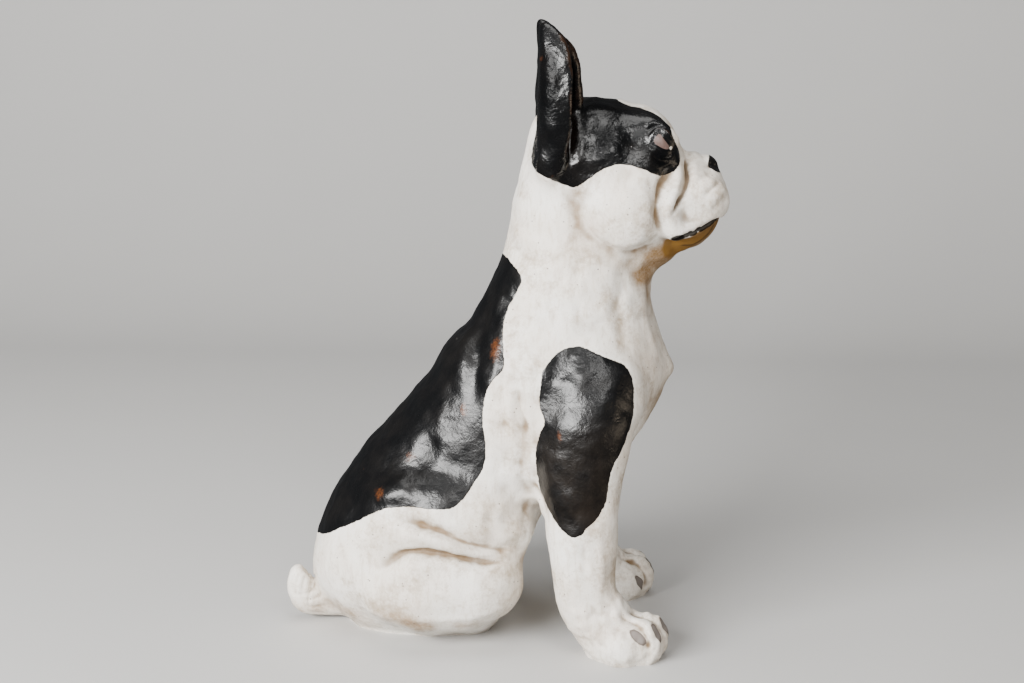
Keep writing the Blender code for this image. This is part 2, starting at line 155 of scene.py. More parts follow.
# Strokes on each side that finish the eyes, the mouth, the nose and the ears.
FEATURE_STROKES = [
    (UPPER_LID, 1.7, 1.7),
    (LOWER_LID, 1.7, 1.3),
    (MOUTH, MOUTH_WIDTH, -MOUTH_DEPTH),
    (UPPER_LIP, 2.6, 0.8),
    (NOSTRIL, 1.7, -2.6),
    (OUTER_RIM, 2.2, 1.2),
    (INNER_RIM, 2.2, 1.2),
    (EAR_WALL, 4.5, 2.4),
]

# Bulges and hollows on each side of the head: place, reaches, height.  They fill the bridge of the
# nose and round the root of the ear.
HEAD_SWELLS = [
    ((130, 7, 330), (7, 8, 5), 3.4),
    ((33, 44, 321), (11, 10, 9), 4.5),
    ((28, 53, 343), (10, 9, 8), -2.4),
]

# Grooves down the middle of the face: the parting under the nose, the muzzle and the forehead.
MIDDLE_STROKES = [
    ([(144, 0, 317), (149, 0, 309), (151.5, 0, 300), (149, 0, 291)], 1.3, -1.6),
    ([(114, 0, 336), (119, 0, 333), (125, 0, 333)], 4.5, -1.0),
    ([(114, 0, 346), (106, 0, 356), (94, 0, 363), (78, 0, 367)], 4.5, -1.2),
]

# Strokes on each side of the body: path, width, height.
BODY_STROKES = [
    # the neck: wrinkles behind the head and soft cords down the throat
    ([(6, 18, 276), (16, 30, 268), (30, 40, 264), (46, 44, 268)], 3.4, -1.2),
    ([(9, 16, 284), (20, 32, 278), (34, 40, 275)], 4.4, 1.0),
    ([(3, 16, 262), (14, 32, 255), (30, 42, 252)], 4.6, 1.0),
    ([(88, 30, 262), (84, 38, 244), (84, 44, 224), (88, 44, 206)], 5.0, -1.1),
    ([(96, 14, 254), (96, 20, 236), (101, 22, 214), (107, 16, 196)], 4.0, 0.9),
    # the shoulder blade and the valley behind it
    ([(-14, 24, 232), (-14, 40, 212), (-16, 52, 190), (-18, 57, 168)], 6.0, -2.0),
    ([(-24, 22, 222), (-26, 38, 202), (-28, 50, 184)], 6.5, 1.5),
    ([(2, 44, 222), (2, 52, 200), (-3, 58, 178), (-6, 60, 156)], 5.0, 1.2),
    # the rump's soft lumps
    ([(-40, 58, 150), (-52, 60, 138), (-62, 62, 124)], 8.0, -1.8),
    ([(-58, 60, 116), (-66, 62, 112), (-80, 60, 104)], 7.0, 1.4),
    # upright folds of the flank between the dark patches
    ([(16, 58, 184), (17, 60, 172), (21, 61, 160), (20, 60, 148)], 2.2, -1.5),
    ([(11, 58, 186), (10, 60, 170), (13, 61, 150), (18, 59, 126)], 3.4, 1.2),
    ([(16, 58, 140), (18, 57, 124), (21, 56, 110)], 3.0, -1.1),
    # the elbow and the tuck of the belly
    ([(24, 55, 122), (32, 60, 108), (40, 62, 98)], 3.2, -1.6),
    ([(16, 58, 108), (26, 56, 101), (34, 52, 94)], 5.0, 2.0),
    ([(-8, 66, 98), (2, 67, 93), (12, 62, 91)], 4.0, -1.8),
    ([(0, 67, 82), (14, 61, 84), (24, 54, 82)], 4.5, 1.8),
    # the folds of the thigh: a narrow crease under each soft roll
    (
        [(-74, 70, 93), (-55, 73, 94), (-43, 74, 91), (-31, 75, 87), (-24, 75, 83), (-15, 73, 79),
         (1, 66, 74), (10, 62, 72)],
        3.2,
        -3.6,
    ),
    ([(-62, 73, 84), (-46, 76, 83.5), (-32, 76, 79.5), (-16, 75, 73.5)], 4.6, 1.9),
    ([(-62, 72, 103), (-42, 74, 100), (-24, 74, 93), (-6, 69, 86), (6, 64, 84)], 6.0, 1.9),
    (
        [(-75, 69, 60), (-64, 70, 69), (-55, 73, 72.5), (-42, 74, 73), (-28, 73, 71),
         (-15, 72, 68), (-2, 69, 66), (11, 62, 65)],
        2.5,
        -4.0,
    ),
    ([(-72, 70, 55), (-54, 75, 63.5), (-36, 77, 64), (-14, 75, 60), (4, 69, 55)], 6.0, 2.0),
    # the bevel along the foot of the haunch
    ([(-106, 48, 26), (-84, 64, 27), (-60, 73, 26), (-30, 76, 26), (-6, 74, 30), (8, 66, 38)],
     3.4, 0.8),
    # the breastbone
    ([(106, 10, 176), (101, 10, 160), (93, 10, 142), (86, 10, 128)], 4.0, -1.2),
]

# Strokes on each foreleg, which follow the leg's own step: path, width, height.
LEG_STROKES = [
    ([(70, 74, 96), (72, 75, 78), (73, 75, 60), (73, 76, 44)], 3.0, 0.9),
    ([(60, 77, 86), (61, 77, 68), (63, 77, 50)], 2.6, -0.9),
    ([(50, 76, 78), (50, 76, 60), (53, 77, 44)], 4.0, 0.8),
    ([(62, 76, 38), (72, 78, 35), (82, 74, 38)], 4.4, -1.0),
    ([(85, 74, 33), (84, 76, 30), (87, 76, 27)], 4.2, 0.8),
]
STRIDE = {RIGHT: 3, LEFT: -7}

# Front paws: the wrist, its splay in degrees, and along, across, height of each cleft and nail.
# A nail is a small bed with a swelling round it, and its paint is a leaning oval.
WRIST = (64, 58)
PAW_SPLAY = 12
TOE_CLEFTS = [
    [(24, 14, 34), (34, 13.5, 28), (40, 14, 18), (40, 14, 5)],
    [(26, 1, 38), (38, 1, 33), (49, 1, 20), (49, 1, 5)],
    [(24, -12, 34), (34, -13, 28), (41, -14, 16), (40, -14, 5)],
]
CLEFT_WIDTH, CLEFT_DEPTH = 1.9, 2.2
NAILS = [(35, 17, 21), (49, 9.5, 24), (49, -7, 23), (35, -20, 14)]
NAIL_RADII, NAIL_LEAN = (7.4, 3.4), -0.6
NAIL_RIM_RADIUS, NAIL_RIM_HEIGHT = 8, 1.3
NAIL_BED_RADIUS, NAIL_BED_DEPTH = 4.6, 1.8

# Tail: the path of its middle with its radius, the grooves between the locks that run along it and
# wind round it, and its tip, which is drawn down.
TAIL = [
    (-118, 0, 17, 14),
    (-130, -7, 14, 12),
    (-139, -11, 16, 11.5),
    (-143.6, -13, 25, 10),
    (-143.6, -14, 34, 8),
    (-141, -14, 40, 5.5),
]
TAIL_LOCKS, LOCK_START, LOCK_WIND = 9, 0.3, 0.22
LOCK_WIDTH, LOCK_DEPTH = 1.1, 0.8
TAIL_TIP = [(-141, -14, 44), (-137, -13, 41), (-133, -12, 36)]
TAIL_TIP_REACH, TAIL_TIP_SHIFT = 5, (0, 0, -5)

# Outlines of the dark patches in the side view: x, height.
HEAD_PATCH = [
    (12, 352), (19, 343), (19, 334), (20.5, 325.5), (26, 321.5), (37, 317), (46, 313.5),
    (51, 315.5), (59, 321.5), (71, 328), (80, 328.3), (90, 326), (99, 322), (105, 320.5),
    (110, 322), (115, 325.5), (117, 331), (115, 338), (111.5, 345), (110, 352), (112, 372),
    (90, 440), (-10, 440),
]
BACK_PATCH = [
    (-40, 274), (0, 265), (8, 261.5), (16, 253), (13, 243), (8, 234), (5, 224), (4.5, 213),
    (6, 196), (0, 189), (-4, 183), (-7, 173), (-8, 160), (-6, 147), (-6, 135), (-8, 127),
    (-13, 119), (-18, 111), (-24, 105.5), (-32, 103), (-51, 103), (-71, 101), (-86, 93),
    (-92, 89), (-107, 80), (-130, 65), (-160, 50), (-170, 150), (-120, 250),
]
LEG_PATCH = [
    (30, 180), (32, 194), (37, 202), (45, 208.5), (56, 210.5), (66, 206.5), (77, 202), (86, 197),
    (90.5, 188), (91.5, 176), (91, 164), (88, 154), (84, 144), (80, 137), (77, 128), (76, 119),
    (74, 109), (68, 99), (61.5, 93), (59.5, 89), (54, 87), (49, 89), (42, 95.5), (36, 104),
    (30.5, 115), (28, 130), (28, 143), (30, 152), (33, 160), (32.5, 166), (30, 172),
]

# Half width of the white blaze on the forehead, at each x; and of the white nape between the ears.
BLAZE = [
    (74, -3), (77, 8), (86, 12), (92, 16), (98, 23), (105, 29), (110, 31), (114, 28), (119, 22),
]
NAPE_HALF, NAPE_TOP, NAPE_END = 21, 357, 50

# How far round the foreleg its patch reaches: height, least distance from the middle plane.
LEG_REACH = [(85, 56), (110, 54), (150, 52), (172, 46), (212, 38)]

# Worn spots that show the brown under the black: place, reach fore and aft, across and up.
RUBS = [
    ((0, -49, 206), (4.0, 9, 8.5), 1.0),
    ((-21, -54, 166), (2.8, 9, 6.0), 1.0),
    ((-57, -50, 132), (6.0, 12, 5.0), 0.62),
    ((-77, -61, 109), (4.0, 9, 4.5), 0.85),
    ((44, -72, 154), (2.2, 6, 4.5), 0.7),
    ((-70, -62, 106), (12, 9, 3.5), 0.3),
    ((30, -50, 396), (3.0, 6, 5.0), 0.5),
    ((43, -38, 352), (4.5, 8, 9.0), 0.75),
    ((-30, 55, 150), (4.0, 9, 6.0), 0.8),
    ((-2, 50, 200), (3.5, 9, 7.0), 0.7),
    ((48, 72, 140), (2.5, 6, 4.0), 0.6),
]

# Brown in the black of the forelegs, and deep in the hollow of each ear.
LEG_WASH = [((56, -70, 118), (34, 30, 34), 1.0), ((50, 66, 120), (34, 30, 34), 0.8)]
EAR_CANAL = [((43, 40, 350), (6, 9, 20), 1.0)]

# Spots on each side of the head where the glaze is dull, wholly so where the strength passes 1.
DULL = [
    ((29.5, 58, 384), (6.0, 12, 19), 2.3),
    ((72, 23, 366), (28, 12, 7), 1.3),
    ((66, 38, 342), (5, 8, 8), 1.1),
    ((80, 40, 340), (6, 8, 5), 1.0),
    ((101, 40, 333), (9, 8, 8), 1.3),
]

# Brown on the white, partly stains of wash and partly painted warm shade under the cheeks and
# the jaw, in the folds and along the foot of the haunch: place, reach fore and aft, across and up,
# strength.
STAINS_AND_SHADE = [
    ((56, -42, 284), (12, 16, 9), 0.95),
    ((72, -38, 274), (16, 14, 6), 0.75),
    ((50, -42, 300), (5, 12, 12), 0.4),
    ((90, -32, 268), (14, 14, 5), 0.55),
    ((12, -20, 288), (9, 16, 8), 0.55),
    ((18, -58, 178), (2.5, 10, 10), 0.7),
    ((10, -58, 188), (4, 10, 4), 0.55),
    ((20, -58, 150), (3, 10, 12), 0.55),
    ((34, -60, 98), (9, 16, 9), 0.6),
    ((20, -58, 90), (14, 16, 9), 0.45),
    ((100, -30, 200), (9, 16, 40), 0.35),
    ((56, -52, 224), (26, 16, 6), 0.3),
    ((64, -78, 40), (14, 9, 7), 0.45),
    ((76, -80, 24), (18, 8, 8), 0.5),
    ((86, -74, 31), (5, 6, 4), 0.8),
    ((-40, -72, 22), (60, 16, 9), 0.6),
    ((-20, -74, 84), (44, 14, 7), 0.4),
    ((-100, -40, 22), (22, 22, 8), 0.5),
    ((-130, -16, 12), (14, 12, 6), 0.55),
    ((64, -76, 76), (5, 6, 16), 0.4),
    ((74, -74, 70), (4, 6, 24), 0.3),
]

# Painted warm bounce light from below, with a little ochre patina, under the chin, down the
# throat and the breast, under the belly and the haunch.
OCHRE_AND_BOUNCE = [
    ((110, -6, 264), (20, 40, 11), 1.2),
    ((128, -4, 272), (18, 34, 9), 1.2),
    ((95, -4, 254), (11, 40, 12), 1.0),
    ((80, -30, 262), (14, 20, 7), 0.45),
    ((98, -4, 236), (7, 30, 22), 0.6),
    ((106, 0, 160), (18, 40, 28), 0.62),
    ((88, 0, 124), (16, 40, 24), 0.55),
    ((18, -30, 66), (26, 36, 14), 0.55),
    ((0, -60, 70), (20, 12, 6), 0.4),
    ((40, 0, 88), (40, 40, 14), 0.4),
    ((-50, -74, 22), (60, 16, 8), 0.42),
    ((-116, -30, 20), (26, 24, 9), 0.4),
]

# Colours of the white, what is washed over it, the black, and what shows through it.
# The browns of the hollows, the creases and the stains are partly wash and partly painted shade,
# and the ochre tone is mostly painted warm bounce light.
WHITE, AGED_WHITE = (0.82, 0.79, 0.73), (0.74, 0.68, 0.60)
STREAK_TAN, PATCH_TAN, GRAIN_TAN = (0.42, 0.33, 0.235), (0.34, 0.255, 0.165), (0.38, 0.29, 0.205)
WASH_AND_SHADE_BROWN, CREASE_WASH_AND_SHADE_BROWN = (0.19, 0.125, 0.066), (0.075, 0.042, 0.02)
STAIN_AND_SHADE_BROWN, SPECK_BROWN = (0.25, 0.155, 0.085), (0.085, 0.055, 0.035)
OCHRE_AND_BOUNCE_TONE = (0.19, 0.094, 0.015)
BLACK, SOFT_BLACK = (0.0022, 0.0023, 0.0026), (0.0045, 0.004, 0.0038)
LEG_BROWN, CANAL_BROWN = (0.0125, 0.0088, 0.0062), (0.016, 0.006, 0.003)
WORN_BROWN, EDGE_BROWN = (0.10, 0.031, 0.008), (0.05, 0.022, 0.01)
PALE_FLECK = (0.20, 0.19, 0.18)

# Colours of the nose, the mouth, the eyes and the nails.  The jaw's warm tone is mostly painted
# bounce light, the brown under the lower lip is painted shade, and the eye's fleck of white is a
# painted highlight.
NOSE_BLACK, MOUTH_BLACK = (0.006, 0.0055, 0.0055), (0.006, 0.004, 0.0025)
JAW_OCHRE_AND_BOUNCE, LIP_SHADE_BROWN = (0.20, 0.10, 0.018), (0.03, 0.016, 0.008)
EYE_ROSE, EYE_BROWN = (0.105, 0.068, 0.058), (0.075, 0.045, 0.038)
EYE_BLACK, GLINT_WHITE = (0.003, 0.003, 0.003), (0.55, 0.50, 0.42)
NAIL_RIM_TONE, NAIL_GREY = (0.115, 0.09, 0.075), (0.19, 0.165, 0.15)

# Painted bands of the mouth: the mark that each follows, its half width, blur, strength and colour.
# The jaw's band is mostly painted warm bounce light with a little ochre, and the band under the
# lower lip is painted shade.
MOUTH_BANDS = [
    ("jaw_ochre_and_bounce", 12.5, 2.0, 0.96, JAW_OCHRE_AND_BOUNCE),
    ("mouth", 1.7, 0.4, 0.95, MOUTH_BLACK),
    ("lower_lip_shade", 1.1, 0.9, 0.65, LIP_SHADE_BROWN),
]
MOUTH_CORNER_RADIUS = 4.9

# Soft lights in metres: name, place, width and height, power, colour.  They all face the statue.
LIGHTS_MIDDLE = (0, 0, 0.22)
LIGHTS = [
    ("key", (-1.04, -1.60, 0.90), (1.45, 0.75), 135, (1.0, 0.99, 0.975)),
    ("face", (0.65, -1.40, 1.45), (0.6, 0.45), 12, (1.0, 0.99, 0.97)),
    ("bounce", (1.3, -0.5, 0.1), (0.8, 0.3), 3, (1.0, 0.82, 0.62)),
    ("top", (-0.1, -0.2, 1.9), (1.2, 1.2), 20, (1.0, 0.99, 0.97)),
]
SKY_TONE, SKY_STRENGTH = (0.80, 0.82, 0.85, 1), 0.10
FLOOR_TONE, FLOOR_ROUGHNESS = (0.50, 0.495, 0.485), 0.7

# How many points a smooth curve has for each point that it is drawn through.
SPAN_POINTS = 6
# A value for places where a mark doesn't lie: far outside an edge, or far from a line.
OUTSIDE, FAR = -20, 99


def outlined(points, closed=True):
    """Points on a Catmull-Rom curve through the points given."""
    points = np.array(points, float)
    if closed:
        padded = np.vstack([points[-1], points, points[:2]])
        spans = len(points)
    else:
        padded = np.vstack([2 * points[0] - points[1], points, 2 * points[-1] - points[-2]])
        spans = len(points) - 1
    found = []
    for i in range(spans):
        a, b, c, d = padded[i : i + 4]
        for t in np.arange(SPAN_POINTS) / SPAN_POINTS:
            bend = (2 * a - 5 * b + 4 * c - d) * t**2 + (3 * b - a - 3 * c + d) * t**3
            found.append(b + 0.5 * ((c - a) * t + bend))
    if not closed:
        found.append(points[-1])
    return np.array(found)


def mirrored(path, side):
    """A path drawn on the left side, on the side asked for."""
    return [(x, side * y, *rest) for x, y, *rest in path]


def smooth_step(low, high, values):
    """From 0 at low to 1 at high, with soft ends."""
    t = np.clip((values - low) / (high - low), 0, 1)
    return t * t * (3 - 2 * t)


def turn_matrix(angle):
    """A turn about an upright line, in degrees."""
    return np.array(Matrix.Rotation(math.radians(angle), 3, "Z"))


def turned(points, angle):
    """Points turned by degrees about the line through the neck."""
    neck = np.array([NECK_X, 0, 0])
    return (points - neck) @ turn_matrix(angle).T + neck


def evaluated(obj):
    """A plain copy of the mesh that an object's modifiers give."""
    graph = bpy.context.evaluated_depsgraph_get()
    return bpy.data.meshes.new_from_object(obj.evaluated_get(graph))


def modified(mesh, kind, **values):
    """A mesh after one modifier."""
    obj = bpy.data.objects.new("clay", mesh)
    bpy.context.scene.collection.objects.link(obj)
    modifier = obj.modifiers.new("work", kind)
    for name, value in values.items():
        setattr(modifier, name, value)
    found = evaluated(obj)
    bpy.data.objects.remove(obj)
    return found


def fused(clay, voxel):
    """One closed skin round all the overlapping forms."""
    mesh = bpy.data.meshes.new("clay")
    clay.to_mesh(mesh)
    clay.free()
    return modified(mesh, "REMESH", mode="VOXEL", voxel_size=voxel * MM)


def ball(clay, centre, radii, lean=0):
    """An ellipsoid.  Lean tips its front up, in degrees."""
    tilt = Matrix.Rotation(math.radians(-lean), 4, "Y")
    size = Matrix.Diagonal((*(Vector(radii) * MM), 1))
    place = Matrix.Translation(Vector(centre) * MM) @ tilt @ size
    bmesh.ops.create_icosphere(clay, subdivisions=5, radius=1, matrix=place)


class Skin:
    """The points of a mesh in millimetres, and the strokes that move them."""

    def __init__(self, mesh):
        self.mesh = mesh
        self.points = np.empty(len(mesh.vertices) * 3)
        mesh.vertices.foreach_get("co", self.points)
        self.points = self.points.reshape(-1, 3) / MM
        ends = np.empty(len(mesh.edges) * 2, int)
        mesh.edges.foreach_get("vertices", ends)
        self.ends = ends.reshape(-1, 2)
        self.tally = np.bincount(ends, minlength=len(self.points))
        self.tree = None

    def store(self):
        self.mesh.vertices.foreach_set("co", (self.points * MM).ravel())
        self.mesh.update()

    def normals(self):
        self.store()
        found = np.empty(len(self.points) * 3)
        self.mesh.vertex_normals.foreach_get("vector", found)
        return found.reshape(-1, 3)

    def averaged(self, values):
        """Each point's mean of its neighbours' values."""
        a, b = self.ends.T
        total = np.bincount(a, values[b], len(values)) + np.bincount(b, values[a], len(values))
        return total / self.tally

    def soften(self, rounds, share=1.0):
        """Moves each point towards the middle of its neighbours."""
        for _ in range(rounds):
            for axis in range(3):
                values = self.points[:, axis]
                self.points[:, axis] += (self.averaged(values) - values) * 0.5 * share

    def settle(self):
        """Takes the skin as it now is as the one that new strokes are laid on."""
        self.store()
        self.tree = BVHTree.FromPolygons(
            [tuple(point) for point in self.points],
            [tuple(face.vertices) for face in self.mesh.polygons],
        )

    def laid(self, path):
        """A smooth path through the places given, on the skin nearest to them."""
        return np.array([self.tree.find_nearest(spot)[0] for spot in outlined(path, False)])

    def off_path(self, laid, reach):
        """The points within reach of a laid path, their distance from it and how far along."""
        near = np.all(
            (self.points > laid.min(axis=0) - reach) & (self.points < laid.max(axis=0) + reach),
            axis=1,
        )
        spots = self.points[near]
        best, along = np.full(len(spots), 1e9), np.zeros(len(spots))
        for i, (start, end) in enumerate(zip(laid, laid[1:])):
            way = end - start
            t = np.clip((spots - start) @ way / max(way @ way, 1e-9), 0, 1)
            gap = np.linalg.norm(spots - start - t[:, None] * way, axis=1)
            nearer = gap < best
            best[nearer] = gap[nearer]
            along[nearer] = (i + t[nearer]) / (len(laid) - 1)
        return near, best, along

    def stroke(self, path, width, reach):
        """The points that a stroke touches and how strongly, fading at its sides and its ends."""
        near, gap, along = self.off_path(self.laid(path), reach)
        fade = np.clip(np.minimum(along, 1 - along) * 4 + 0.1, 0, 1)
        return near, (fade * np.exp(-((gap / width) ** 2)))[:, None]

    def draw(self, path, width, height, normals):
        """A ridge along a path, or a groove where height is below zero."""
        near, force = self.stroke(path, width, width * 3)
        self.points[near] += normals[near] * force * height

    def pull(self, path, width, shift):
        """Drags the skin near a path one way, in millimetres."""
        near, force = self.stroke(path, width, width * 2.5)
        self.points[near] += force * shift

    def swell(self, place, radii, height, normals):
        """A soft bulge round a place, or a hollow where height is below zero."""
        gap = np.linalg.norm((self.points - place) / radii, axis=1)
        self.points += normals * (height * np.exp(-(gap**2)))[:, None]

    def roughen(self, size, height, seed, share):
        """Uneven, hand-worked ground with lumps of about one size, where share is above zero or
        everywhere if it is None."""
        normals = self.normals()
        shift = Vector((seed * 17.3, seed * 5.7, seed * 11.1))
        share = np.ones(len(self.points)) if share is None else share
        for i in np.flatnonzero(share > 0.01):
            lift = noise.noise(Vector(self.points[i]) / size + shift)
            self.points[i] += normals[i] * (lift * height * share[i])


def carried_solid(solid):
    """The solid as clay, made longer below the ground so that its foot stays sharp when cut."""
    clay = bmesh.new()
    clay.from_mesh(solid.data)
    sole = [face for face in clay.faces if all(vert.co.z < 0.01 * MM for vert in face.verts)]
    grown = bmesh.ops.extrude_face_region(clay, geom=sole)
    lower = [part for part in grown["geom"] if isinstance(part, bmesh.types.BMVert)]
    bmesh.ops.translate(clay, verts=lower, vec=(0, 0, -FOOT_DEPTH * MM))
    return clay


def region_share(points):
    """How strongly each point of the mass is softened: less where fine forms lie."""
    x, y, z = points.T
    share = np.ones(len(points))
    head = smooth_step(52, 80, x) * smooth_step(250, 268, z)
    ears = smooth_step(332, 346, z) * (1 - smooth_step(52, 60, x))
    paws = smooth_step(62, 84, x) * (1 - smooth_step(36, 52, z))
    tail = 1 - smooth_step(-134, -124, x)
    kept_shares = (head, HEAD_SHARE), (ears, EAR_SHARE), (paws, PAW_SHARE), (tail, TAIL_SHARE)
    for mask, kept in kept_shares:
        share += (kept - 1) * mask * (share > kept)
    return np.clip(share, HEAD_SHARE, 1)


def modelled_clay(solid):
    """The softened mass of the solid, with eyes and nose set into it."""
    mass = Skin(fused(carried_solid(solid), MASS_VOXEL))
    mass.soften(MELT_ROUNDS, region_share(mass.points))
    mass.store()
    clay = bmesh.new()
    clay.from_mesh(mass.mesh)
    first = len(clay.verts)
    for side in SIDES:
        x, y, z = EYE
        ball(clay, (x, side * y, z), (EYE_RADIUS,) * 3)
    ball(clay, NOSE, NOSE_RADII, lean=NOSE_LEAN)
    bmesh.ops.rotate(
        clay,
        cent=(NECK_X * MM, 0, 0),
        matrix=Matrix.Rotation(math.radians(HEAD_TURN), 3, "Z"),
        verts=list(clay.verts)[first:],
    )
    return fused(clay, SKIN_VOXEL)


def work_head(skin):
    """The face and the ears, worked on a head that looks straight ahead."""
    skin.points = turned(skin.points, -HEAD_TURN)
    skin.settle()
    normals = skin.normals()
    for side in SIDES:
        for path, width, height in HEAD_STROKES + FEATURE_STROKES:
            skin.draw(mirrored(path, side), width, height, normals)
        skin.pull(mirrored(OUTER_RIM, side), OUTER_RIM_REACH, OUTER_RIM_FORWARD)
        for place, radii, height in HEAD_SWELLS:
            skin.swell(mirrored([place], side)[0], radii, height, normals)
    for path, width, height in MIDDLE_STROKES:
        skin.draw(path, width, height, normals)
    skin.points = turned(skin.points, HEAD_TURN)


def from_wrist(side, along, across, up):
    """A place on a front paw."""
    x, y = WRIST
    spin = Matrix.Rotation(math.radians(side * PAW_SPLAY), 3, "Z")
    spot = Vector((x + STRIDE[side], side * y, 0)) + spin @ Vector((along, side * across, 0))
    return (spot.x, spot.y, up)


def tail_lines():
    """Paths along the tail, evenly spaced round it."""
    lines = []
    for i in range(TAIL_LOCKS):
        angle = 2 * math.pi * i / TAIL_LOCKS + LOCK_START
        line = []
        for j, (x, y, z, radius) in enumerate(TAIL):
            spin = angle + LOCK_WIND * j
            tip = j / (len(TAIL) - 1)
            # the tail turns from running back to standing up, so its ring turns with it
            back = radius * math.sin(spin) * tip
            line.append(
                (x - back, y + radius * math.cos(spin), z + radius * math.sin(spin) * (1 - tip))
            )
        lines.append(line)
    return lines


def work_body(skin):
    """The folds, paws and tail."""
    skin.settle()
    normals = skin.normals()
    for side in SIDES:
        for path, width, height in BODY_STROKES:
            skin.draw(mirrored(path, side), width, height, normals)
        for path, width, height in LEG_STROKES:
            step = STRIDE[side] - STRIDE[RIGHT]
            moved = [(x + step, y, z) for x, y, z in path]
            skin.draw(mirrored(moved, side), width, height, normals)
        for cleft in TOE_CLEFTS:
            path = [from_wrist(side, *spot) for spot in cleft]
            skin.draw(path, CLEFT_WIDTH, -CLEFT_DEPTH, normals)
        for spot in NAILS:
            place = np.array(skin.tree.find_nearest(from_wrist(side, *spot))[0])
            skin.swell(place, (NAIL_RIM_RADIUS,) * 3, NAIL_RIM_HEIGHT, normals)
            skin.swell(place, (NAIL_BED_RADIUS,) * 3, -NAIL_BED_DEPTH, normals)
    for line in tail_lines():
        skin.draw(line, LOCK_WIDTH, -LOCK_DEPTH, normals)
    skin.pull(TAIL_TIP, TAIL_TIP_REACH, TAIL_TIP_SHIFT)


def cut_at_ground(mesh):
    """The mesh cut off flat at the ground and closed there."""
    work = bmesh.new()
    work.from_mesh(mesh)
    everything = list(work.verts) + list(work.edges) + list(work.faces)
    bmesh.ops.bisect_plane(
        work, geom=everything, plane_co=(0, 0, 0), plane_no=(0, 0, 1), dist=1e-6, clear_inner=True
    )
    rim = [edge for edge in work.edges if edge.is_boundary]
    for edge in rim:
        edge.smooth = False
    bmesh.ops.holes_fill(work, edges=rim, sides=0)
    bmesh.ops.triangulate(work, faces=[face for face in work.faces if len(face.verts) > 4])
    work.to_mesh(mesh)
    work.free()


def roughen_all(skin):
    """Uneven ground all over, and stronger on the skull, the paws, the flank and the throat."""
    x, y, z = skin.points.T
    skull = smooth_step(312, 326, z) * smooth_step(46, 56, x) * (1 - smooth_step(90, 100, x))
    paws = (1 - smooth_step(34, 56, z)) * smooth_step(40, 60, x)
    flank = smooth_step(-14, 2, x) * (1 - smooth_step(24, 34, x)) * (z > 70) * (z < 240)
    throat = smooth_step(40, 60, x) * (1 - smooth_step(276, 290, z)) * (z > 225)
    grounds = (
        (18, 1.3, None),
        (6, 0.34, None),
        (12, 1.0, skull),
        (4, 0.25, skull),
        (5, 1.0, paws),
        (11, 1.2, np.maximum(flank, throat)),
    )
    for seed, (size, height, share) in enumerate(grounds, 1):
        skin.roughen(size, height, seed, share)


def sculpted(solid):
    """The finished skin as a mesh."""
    skin = Skin(modelled_clay(solid))
    skin.soften(3)
    work_head(skin)
    work_body(skin)
    skin.soften(1)
    roughen_all(skin)
    skin.store()
    mesh = skin.mesh
    mesh.calc_loop_triangles()
    ratio = PIECE_TRIANGLES / len(mesh.loop_triangles)
    mesh = modified(mesh, "DECIMATE", ratio=ratio)
    cut_at_ground(mesh)
    mesh.shade_smooth()
    return mesh


def off_outline(x, z, outline):
    """Distance inside an outline of the side view, below zero outside it."""
    outline = outlined(outline)
    best = np.full(len(x), 1e9)
    inside = np.zeros(len(x), bool)
    for (x0, z0), (x1, z1) in zip(outline, np.roll(outline, -1, axis=0)):
        way_x, way_z = x1 - x0, z1 - z0
        t = np.clip(((x - x0) * way_x + (z - z0) * way_z) / max(way_x**2 + way_z**2, 1e-9), 0, 1)
        best = np.minimum(best, np.hypot(x - x0 - t * way_x, z - z0 - t * way_z))
        crosses = (z0 > z) != (z1 > z)
        if z1 != z0:
            inside ^= crosses & (x < x0 + (z - z0) * way_x / (z1 - z0))
    return np.where(inside, best, -best)


def head_patch(x, y, z):
    """The dark mask over the ears, the sides of the skull and the eyes."""
    side = off_outline(x, z, HEAD_PATCH)
    at_x, half = np.array(BLAZE).T
    blaze = np.where(x > at_x[0], np.abs(y) - np.interp(x, at_x, half), -OUTSIDE)
    above = np.maximum(z - (NAPE_TOP - NAPE_HALF), 0)
    nape = np.where(x < NAPE_END, np.hypot(y, above) - NAPE_HALF, -OUTSIDE)
    return np.minimum(side, np.minimum(blaze, nape))


def leg_patch(x, y, z):
    """The dark drop on the outside of each shoulder and foreleg."""
    heights, reach = np.array(LEG_REACH).T
    return np.minimum(off_outline(x, z, LEG_PATCH), np.abs(y) - np.interp(z, heights, reach))


def spots(points, places):
    """The strength of a list of soft spots, each with a place, reaches and a strength."""
    found = np.zeros(len(points))
    for place, reach, strength in places:
        gap = np.linalg.norm((points - place) / reach, axis=1)
        found = np.maximum(found, strength * np.exp(-(gap**2)))
    return found


def off_line(points, line):
    """Distance from a line through space."""
    line = np.array(line)
    best = np.full(len(points), 1e9)
    for start, end in zip(line, line[1:]):
        way = end - start
        t = np.clip((points - start) @ way / max(way @ way, 1e-9), 0, 1)
        best = np.minimum(best, np.linalg.norm(points - start - t[:, None] * way, axis=1))
    return best


def hollowness(skin, rounds):
    """How far each point lies under the softened skin round it: above zero in hollows."""
    normals = skin.normals()
    soft = skin.points.copy()
    for _ in range(rounds):
        for axis in range(3):
            soft[:, axis] += (skin.averaged(soft[:, axis]) - soft[:, axis]) * 0.6
    return np.einsum("ij,ij->i", soft - skin.points, normals)


def mark(mesh, name, values):
    """Stores one number a point under a name that the paint reads."""
    layer = mesh.attributes.new(name, "FLOAT", "POINT")
    layer.data.foreach_set("value", values.astype(np.float32))


